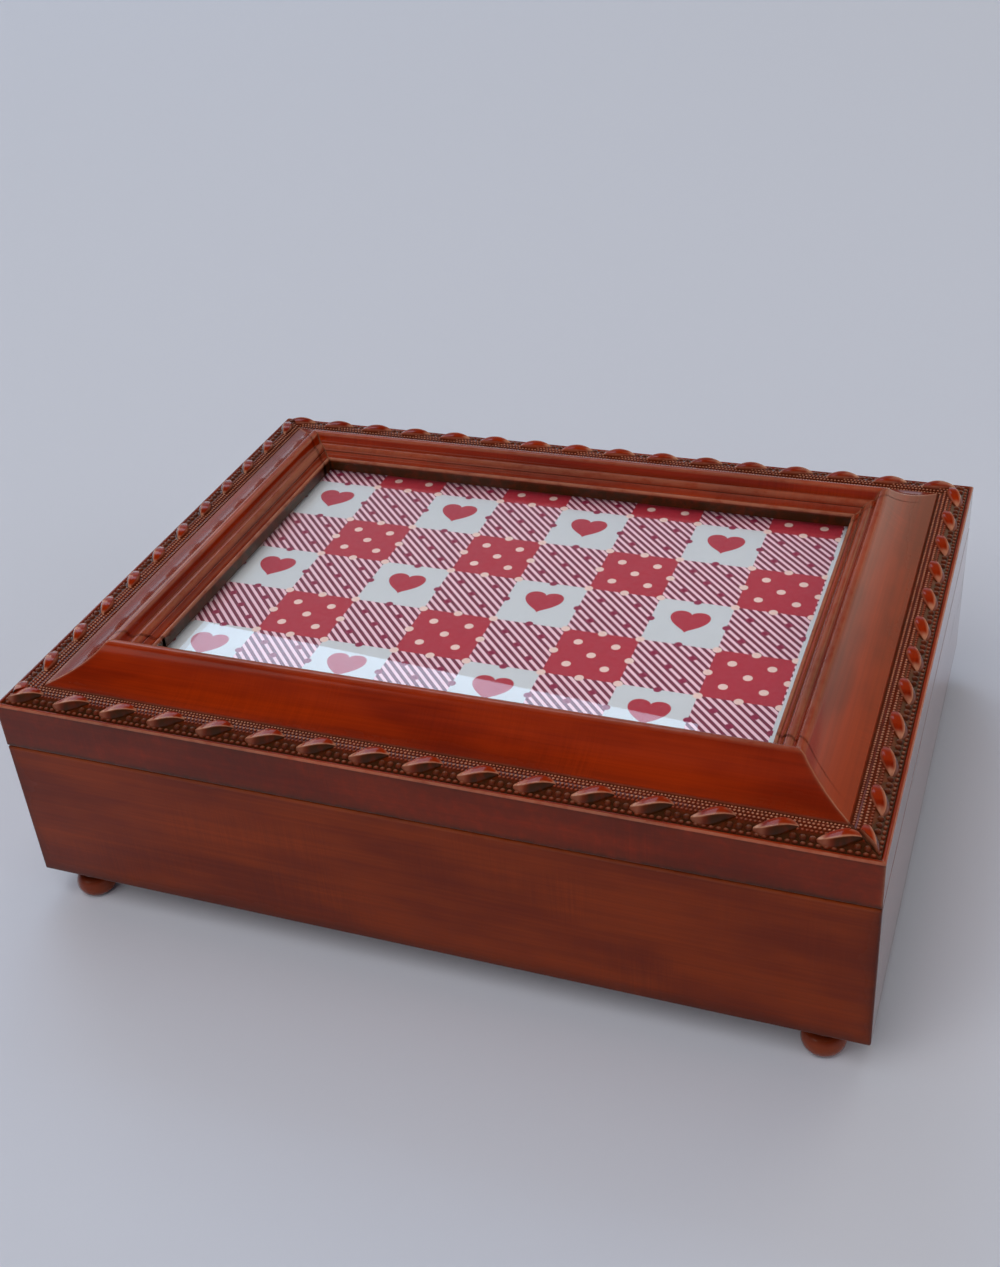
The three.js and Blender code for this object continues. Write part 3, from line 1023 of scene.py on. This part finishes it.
for name in ("foot_front_left", "foot_front_right", "foot_back_left", "foot_back_right"):
    low, high = span(name)
    middle = (low + high) / 2
    make_piece("fine_" + name, foot_part(middle[0], middle[1], high[2]), foot_wood)

# %% [markdown]
# ## The printed card
# The picture under the glass is a patchwork print: white squares with a red heart, red squares with pale
# dots, and pink squares with slanting stripes and small dots. It could be a picture file, but a pattern
# this regular is only arithmetic: the place on the card is turned into squares, and each motif is a test on
# the place within its square. Coordinates are the object's own, in metres.

# %% Pattern of the card
square = 18.43
first_column = -66.24
first_row = 52.35
heart_half = 4.85
heart_shift = 0.48
heart_stretch = 1.06
stripes_in_square = 8
pale_dot = 1.1
berry_dot = 0.95
margin_start = 72.3

card, tree, shader = new_material("printed_card")
place_on_card = tree.nodes.new("ShaderNodeTexCoord").outputs["Object"]
axes = tree.nodes.new("ShaderNodeSeparateXYZ")
feed(tree, axes.inputs[0], place_on_card)
x_mm = calc(tree, "DIVIDE", axes.outputs[0], mm)
y_mm = calc(tree, "DIVIDE", axes.outputs[1], mm)
column = calc(tree, "DIVIDE", calc(tree, "SUBTRACT", x_mm, first_column), square)
row = calc(tree, "DIVIDE", calc(tree, "SUBTRACT", first_row, y_mm), square)
whole_column = calc(tree, "ROUND", column)
whole_row = calc(tree, "ROUND", row)
in_x = calc(tree, "MULTIPLY", calc(tree, "SUBTRACT", column, whole_column), square)
in_y = calc(tree, "MULTIPLY", calc(tree, "SUBTRACT", whole_row, row), square)
odd_column = calc(tree, "FLOORED_MODULO", whole_column, 2)
odd_row = calc(tree, "FLOORED_MODULO", whole_row, 2)
even_row = calc(tree, "SUBTRACT", 1, odd_row)
heart_square = calc(tree, "MULTIPLY", odd_row, calc(tree, "SUBTRACT", 1, odd_column))
dotted_square = calc(tree, "MULTIPLY", even_row, odd_column)

heart_x = calc(tree, "ABSOLUTE", calc(tree, "DIVIDE", in_x, heart_half))
heart_y = calc(tree, "DIVIDE", calc(tree, "ADD", in_y, heart_shift), heart_half * heart_stretch)
shoulder = calc(tree, "MULTIPLY", calc(tree, "SQRT", heart_x), 0.75)
lobe = calc(tree, "SUBTRACT", calc(tree, "MULTIPLY", heart_y, 1.32), shoulder)
heart_field = calc(tree, "ADD", calc(tree, "MULTIPLY", heart_x, heart_x), calc(tree, "MULTIPLY", lobe, lobe))
heart = window(tree, heart_field, 1.05, 0.95)

stripe_period = square / stripes_in_square
slant = calc(tree, "DIVIDE", calc(tree, "ADD", in_x, in_y), stripe_period)
stripe_phase = calc(tree, "ABSOLUTE", calc(tree, "SUBTRACT", calc(tree, "FRACT", slant), 0.5))
stripe = window(tree, stripe_phase, 0.29, 0.23)

white = srgb(218, 222, 226)
rose = srgb(255, 214, 226)
cream = srgb(250, 216, 206)
plum = srgb(122, 30, 60)
red = srgb(184, 38, 58)
berry = srgb(150, 18, 66)
printed = blend(tree, stripe, rose, plum)
printed = blend(tree, dotted_square, printed, red)
printed = blend(tree, heart_square, printed, blend(tree, heart, white, red))


def add_dots(printed, shift):
    """One of the two lattices of dots. What lies under a dot's middle decides its colour: pale on or beside
    a red square, berry on or beside a striped one, and none within a white one."""
    kinds = []
    squares = []
    for place, turned in ((column, 0), (row, 2)):
        halves = calc(tree, "SUBTRACT", calc(tree, "MULTIPLY", place, 2), shift)
        nearest = calc(tree, "ROUND", halves)
        distance = calc(tree, "MULTIPLY", calc(tree, "SUBTRACT", halves, nearest), square / 2)
        squares.append(calc(tree, "MULTIPLY", distance, distance))
        turn = calc(tree, "FLOORED_MODULO", calc(tree, "ADD", nearest, shift + turned), 4)
        kinds.append(calc(tree, "COMPARE", turn, 2, 1.25))
    away = calc(tree, "SQRT", calc(tree, "ADD", *squares))
    pale = calc(tree, "MULTIPLY", *kinds)
    dark = calc(tree, "ABSOLUTE", calc(tree, "SUBTRACT", *kinds))
    dark_disc = calc(tree, "MULTIPLY", dark, window(tree, away, berry_dot + 0.1, berry_dot - 0.1))
    pale_disc = calc(tree, "MULTIPLY", pale, window(tree, away, pale_dot + 0.1, pale_dot - 0.1))
    return blend(tree, pale_disc, blend(tree, dark_disc, printed, berry), cream)


printed = add_dots(add_dots(printed, 0), 0.5)
printed = blend(tree, calc(tree, "GREATER_THAN", x_mm, margin_start), printed, white)
feed(tree, shader.inputs["Base Color"], printed)
fibres = noise(tree, place_on_card, (900, 900, 900), 3, 0.6)
feed(tree, shader.inputs["Roughness"], window(tree, fibres, 0.3, 0.7, 0.45, 0.6))
add_bump(tree, shader, fibres, 0.01 * mm)
nodes["picture_print"].data.materials.clear()
nodes["picture_print"].data.materials.append(card)
print("card squares", square, "mm,", len(tree.nodes), "nodes")

# %% [markdown]
# ## Glass
# The pane is plain clear glass, 2 mm thick. Refraction and Fresnel mirroring come from the shader by plain
# values. Light that falls on the card has to pass the pane, and a path tracer finds that way badly, so rays
# that only ask for shadow go straight through.

# %% Clear pane
glass, tree, shader = new_material("clear_glass")
shader.inputs["Base Color"].default_value = (1, 1, 1, 1)
shader.inputs["Roughness"].default_value = 0.0
shader.inputs["IOR"].default_value = 1.5
shader.inputs["Transmission Weight"].default_value = 1.0
rays = tree.nodes.new("ShaderNodeLightPath")
through = tree.nodes.new("ShaderNodeBsdfTransparent")
either = tree.nodes.new("ShaderNodeMixShader")
feed(tree, either.inputs[0], rays.outputs["Is Shadow Ray"])
feed(tree, either.inputs[1], shader.outputs[0])
feed(tree, either.inputs[2], through.outputs[0])
feed(tree, tree.nodes["Material Output"].inputs["Surface"], either.outputs[0])
nodes["glass_pane"].data.materials.clear()
nodes["glass_pane"].data.materials.append(glass)
print("glass", round(glass_high[2] - glass_low[2], 2), "mm thick")

# %% [markdown]
# ## Hidden panels
# The bottom panel and the board behind the picture are thin fibreboard, brown and dull, with a fine
# speckle. They keep the model's own shape, so their material reads the object's coordinates.

# %% Fibreboard


def fibreboard(name, light, dark):
    material, tree, shader = new_material(name)
    place = tree.nodes.new("ShaderNodeTexCoord").outputs["Object"]
    speckle = noise(tree, place, (1400, 1400, 1400), 3, 0.7)
    clouds = noise(tree, place, (40, 40, 40), 2, 0.5)
    mixed = calc(tree, "ADD", calc(tree, "MULTIPLY", speckle, 0.6), calc(tree, "MULTIPLY", clouds, 0.4))
    feed(tree, shader.inputs["Base Color"], blend(tree, window(tree, mixed, 0.35, 0.65), light, dark))
    feed(tree, shader.inputs["Roughness"], window(tree, speckle, 0.3, 0.7, 0.7, 0.85))
    add_bump(tree, shader, speckle, 0.06 * mm)
    return material


bottom_board = fibreboard("brown_fibreboard", srgb(120, 78, 54), srgb(92, 56, 38))
dark_board = fibreboard("dark_fibreboard", srgb(76, 48, 34), srgb(54, 34, 26))
for node, material in (("body_bottom", bottom_board), ("backing_board", dark_board)):
    nodes[node].data.materials.clear()
    nodes[node].data.materials.append(material)
print("panels:", bottom_board.name, dark_board.name)
